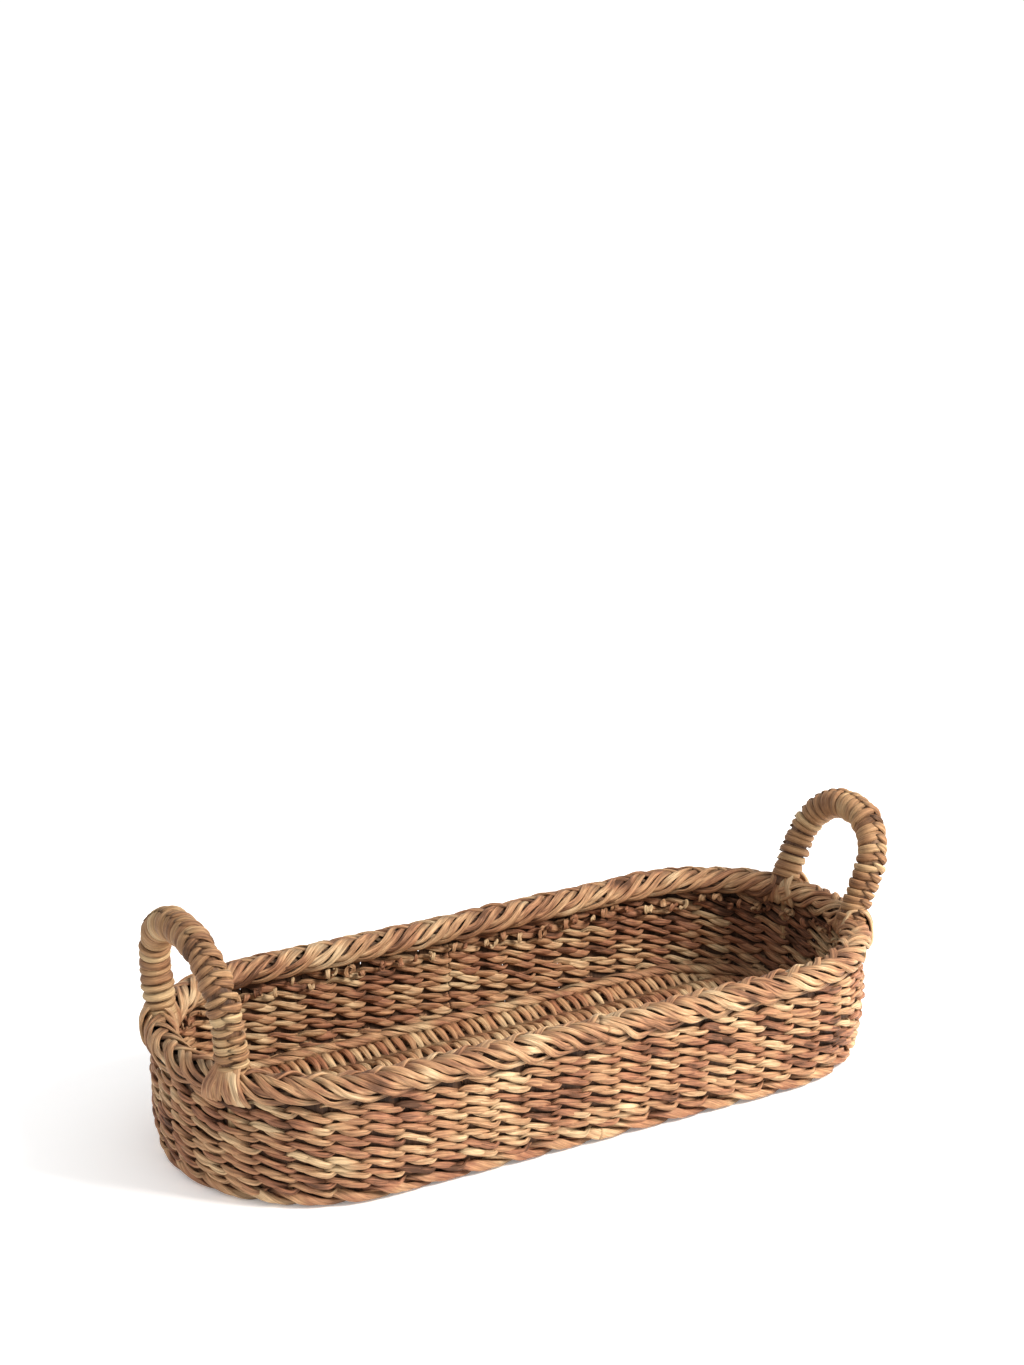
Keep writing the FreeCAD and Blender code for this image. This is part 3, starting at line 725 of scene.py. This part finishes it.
# The core gets the dark stem colour, painted shade under the plait.
rim_core = rope(rng, rho=RIM_RHO, z=RIM_HEIGHT, bundles=3, lay=ONCE_ROUND / 18, swing=2.2 * MM,
                half_wide=3.6 * MM, half_flat=3.0 * MM, rings=441, leaves=3, tone=0.3)
make_piece("rim_core", [rim_core], STEM_LEAF_PAINTED_SHADE, [])


# ---------------------------------------------------------------- handles
# Each handle is a bent cane, pushed into the wall at its two feet, and wound closely with flat leaf. Each
# turn of the winding is tucked under the next along the outer edge, where the turns meet in a herringbone.

HANDLE_LEAF = leaf_material("seagrass_handle", dark=(0.15, 0.075, 0.035), ruddy=(0.38, 0.205, 0.105),
                            tan=(0.50, 0.305, 0.16), straw=(0.66, 0.475, 0.27), stain=0.3, painted_shade=1.0)
HANDLES = {"left": {"side": -1, "span": 96 * MM, "rise": 62.4 * MM, "bend": 44 * MM,
                    "lean": math.radians(5.5)},
           "right": {"side": 1, "span": 72 * MM, "rise": 55.4 * MM, "bend": 33 * MM,
                     "lean": math.radians(23)}}
HANDLE_BASE = 82.6 * MM
HANDLE_RADIUS = 7.9 * MM
SLEEVE_RADIUS = 7.2 * MM
TURN_STEP = 5.4 * MM
TURN_HALF = 2.8 * MM
TURN_FLAT = 1.5 * MM
TURN_CLIMB = 3.0 * MM
FOOT_DEPTH = 9 * MM


def foot_x(handle):
    """X of a handle's feet, where a chord of the end circle is as long as the handle's span."""
    return handle["side"] * (STRAIGHT / 2 + math.sqrt(END_RADIUS ** 2 - (handle["span"] / 2) ** 2))


def arch_length(handle):
    """Two legs, two quarter circles and the straight top."""
    bend = handle["bend"]
    return 2 * (handle["rise"] - bend) + math.pi * bend + handle["span"] - 2 * bend


def arch(handle, d):
    """Place, outward normal and side direction at distance d along the handle: up a leg, a quarter circle,
    the top, a quarter circle and down, all in a plane that leans out from the two feet. Before 0 and past
    the end it goes on straight down."""
    bend = handle["bend"]
    leg = handle["rise"] - bend
    quarter = math.pi * bend / 2
    top = handle["span"] - 2 * bend
    first = np.clip(d - leg, 0, quarter)
    second = np.clip(d - leg - quarter - top, 0, quarter)
    angle = (first + second) / bend
    up = np.minimum(d, leg) - np.maximum(d - leg - 2 * quarter - top, 0)
    level = np.clip(d - leg - quarter, 0, top)
    y = -handle["span"] / 2 + level + bend * (1 - np.cos(first / bend)) + bend * np.sin(second / bend)
    z = up + bend * np.sin(first / bend) - bend * (1 - np.cos(second / bend))
    tilt = handle["side"] * handle["lean"]
    place = np.stack([foot_x(handle) + z * math.sin(tilt), y, HANDLE_BASE + z * math.cos(tilt)], -1)
    normal = np.stack([np.sin(angle) * math.sin(tilt), -np.cos(angle), np.sin(angle) * math.cos(tilt)], -1)
    sideways = np.broadcast_to([math.cos(tilt), 0, -math.sin(tilt)], place.shape)
    return place, normal, sideways


def winding(handle, rng):
    """Turns of flat leaf over a plain sleeve. At angle w round the cane, from just before the outer edge to
    just past it again, a turn is at place(d) + radius * (-cos w * normal + sin w * sideways) with d = its
    own step + TURN_CLIMB * (w / pi)^2 + its own slope * w / pi, so its two ends climb to the outer edge and
    cross there. The radius grows by 0.7 mm * w / pi, so one end lies over the next."""
    length = arch_length(handle) + 2 * FOOT_DEPTH
    count = int(length / TURN_STEP)

    def each(spread):
        """A random number round 0 for each turn."""
        return rng.normal(0, spread, count)[:, None]

    own = ((np.arange(count) + 0.3) * TURN_STEP - FOOT_DEPTH)[:, None] + each(0.25) * MM
    w = np.linspace(-1.17, 1.17, 31) * math.pi + each(0.06)
    d = own + TURN_CLIMB * (w / math.pi) ** 2 + each(0.5) * MM * w / math.pi
    place, normal, sideways = arch(handle, d)
    round_out = -np.cos(w)[..., None] * normal + np.sin(w)[..., None] * sideways
    radius = HANDLE_RADIUS + (0.7 * w / math.pi + each(0.42)) * MM
    taper = tapered(31, 0.24)
    half_wide = TURN_HALF * (1 + np.clip(each(0.12), -0.18, 0.25)) * taper
    half_flat = TURN_FLAT * (0.5 + 0.5 * taper)
    along = unit(np.cross(sideways, normal))
    tipped = unit(round_out + 0.32 * along)
    phase = rng.uniform(0, 6, count)[:, None]
    skins = strand(place + radius[..., None] * round_out, tipped, half_wide, half_flat, 12, 3, 0.2, phase)
    tone = np.clip(0.6 + each(0.2), 0.1, 1)
    place, normal, _ = arch(handle, np.linspace(-FOOT_DEPTH, length - FOOT_DEPTH, 90)[None])
    sleeve = strand(place, normal, SLEEVE_RADIUS, SLEEVE_RADIUS, 16, 8, 0.05)
    # Painted shade: the ends of each turn, tucked under the next, and the sleeve under the winding are
    # painted darker.
    return [(skins, tone, 0.15 + 0.85 * taper), (sleeve, 0.3, 0.35)]


rng = np.random.default_rng(61)
for end, handle in HANDLES.items():
    wound = winding(handle, rng)
    make_piece("handle_%s_wrap" % end, wound, HANDLE_LEAF, ["handle_%s_winding" % end])


# ---------------------------------------------------------------- lashings
# At each foot of a handle, a few split leaves are tied over the rim and pulled down into the wall outside
# and inside, gathered at the handle and splayed below.

LASHINGS = {"lashing_left_front": ("left", -1), "lashing_left_back": ("left", 1),
            "lashing_right_front": ("right", -1), "lashing_right_back": ("right", 1)}
LASHING_LEAVES = 9
LASHING_LEAF_STEP = 2.9 * MM
LASHING_SECTION = np.array([(-8.0, 62), (-9.5, 69), (-8.0, 76.3), (-3.5, 82.4), (3.3, 82.9), (8.4, 77.9),
                            (9.7, 71), (8.0, 64), (4.5, 60)]) * MM
LASHING_FAN = np.array([1, 0.8, 0.6, 0.5, 0.45, 0.55, 0.8, 1.0, 1.1])


def smooth_path(controls, count):
    """A line through control points: on each span the cubic of Catmull and Rom, from four neighbouring
    points."""
    ends = np.concatenate([2 * controls[:1] - controls[1:2], controls, 2 * controls[-1:] - controls[-2:-1]])
    t = np.linspace(0, len(controls) - 1, count)
    span = np.minimum(t.astype(int), len(controls) - 2)
    f = (t - span)[:, None]
    a, b, c, d = (ends[span + i] for i in range(4))
    square = 2 * a - 5 * b + 4 * c - d
    cube = 3 * b - a - 3 * c + d
    return 0.5 * (2 * b + (c - a) * f + square * f ** 2 + cube * f ** 3)


def foot_distance(handle, y_side):
    """How far round the wall a handle's foot is: the middle of the end, and from there an arc to the foot's
    Y."""
    turn = math.asin(handle["span"] / 2 / END_RADIUS)
    quarter = STRAIGHT / 2 + END_RADIUS * math.pi / 2
    if handle["side"] > 0:
        return quarter + y_side * END_RADIUS * turn
    return ONCE_ROUND - quarter - y_side * END_RADIUS * turn


def lashing(handle, y_side, rng):
    """Leaves over the rim, each a smooth line through the nine (rho, z) points of LASHING_SECTION, from
    inside over the top and down outside. They are spread along the wall in a fan: close at the top, and
    wider below."""
    foot = foot_distance(handle, y_side)
    taper = tapered(41, 0.12)
    parts = []
    for leaf in range(LASHING_LEAVES):
        spread = (leaf - (LASHING_LEAVES - 1) / 2) * LASHING_LEAF_STEP + rng.normal(0, 0.5) * MM
        along = foot + spread * LASHING_FAN + rng.normal(0, 0.5, 9) * MM
        section = LASHING_SECTION + rng.normal(0, 0.35, (9, 2)) * MM
        s, rho, z = smooth_path(np.column_stack([along, section]), 41).T
        rho = rho + 0.5 * MM * (leaf % 2)
        path = off_wall(s, rho, z + rim_sag(s))
        _, outward = around(s)
        normal = unit((rho - RIM_RHO)[:, None] * outward + (z - RIM_HEIGHT)[:, None] * UP)
        half = rng.uniform(2.0, 2.8) * MM
        phase = rng.uniform(0, 6)
        skins = strand(path[None], normal[None], half * taper, 1.2 * MM * taper, 10, 2, 0.14, phase, boxy=0.8)
        # Painted shade: each leaf is painted darker towards its ends, where it goes into the wall.
        parts.append((skins, np.clip(rng.normal(0.66, 0.13), 0.3, 1.0), 0.45 + 0.5 * taper))
    return parts


rng = np.random.default_rng(71)
for label, (end, y_side) in LASHINGS.items():
    make_piece(label + "_leaves", lashing(HANDLES[end], y_side, rng), RIM_LEAF, [label])


# ---------------------------------------------------------------- handle canes
# The two canes inside the handles stay as they are in the frame, under their windings. They are plain dry
# cane, pale with a fine grain along its length.

def cane_material():
    """Pale cane with grain along its length: noise stretched along Z changes its colour and roughness."""
    material = bpy.data.materials.new("cane")
    material.use_nodes = True
    tree = material.node_tree
    shader = tree.nodes["Principled BSDF"]
    grain = noise(tree, add(tree, "TexCoord")["Object"], (900, 900, 40), 4.0, 0.5)
    colour = mix(tree, ramp(tree, grain, 0.3, 0.7), (0.30, 0.19, 0.10, 1), (0.48, 0.34, 0.19, 1))
    tree.links.new(colour, shader.inputs["Base Color"])
    tree.links.new(ramp(tree, grain, 0.3, 0.7, 0.65, 0.5), shader.inputs["Roughness"])
    return material


CANE = cane_material()
for label in ("handle_left_core", "handle_right_core"):
    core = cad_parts[label]
    core.data.materials.clear()
    core.data.materials.append(CANE)
